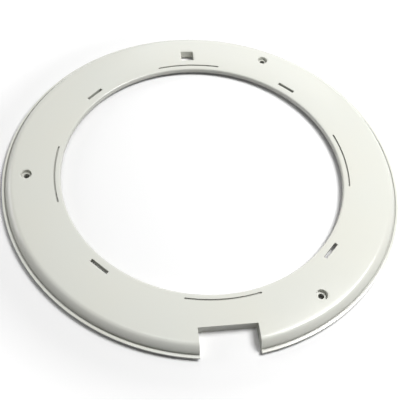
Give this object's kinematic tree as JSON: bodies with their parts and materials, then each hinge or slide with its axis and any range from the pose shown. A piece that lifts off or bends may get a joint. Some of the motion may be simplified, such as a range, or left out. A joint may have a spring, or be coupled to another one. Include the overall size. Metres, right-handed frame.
{
  "type": "washing machine door frame",
  "caption": "Round moulded door frame of a front-loading washing machine, with a hinge pocket, a latch window, recessed screw holes and clip slots.",
  "frame": {"origin": "centre of the ring, on the plane of the three screw bosses' ends", "axes": "+Z out of the visible face, -Y through the middle of the hinge pocket, +Y through the latch window"},
  "size_m": [0.38, 0.3782, 0.0112],
  "materials": {
    "white_abs": "moulded off-white ABS, semi-gloss, clean"
  },
  "bodies": {
    "root": {"door_frame": "white_abs"}
  },
  "joints": []
}
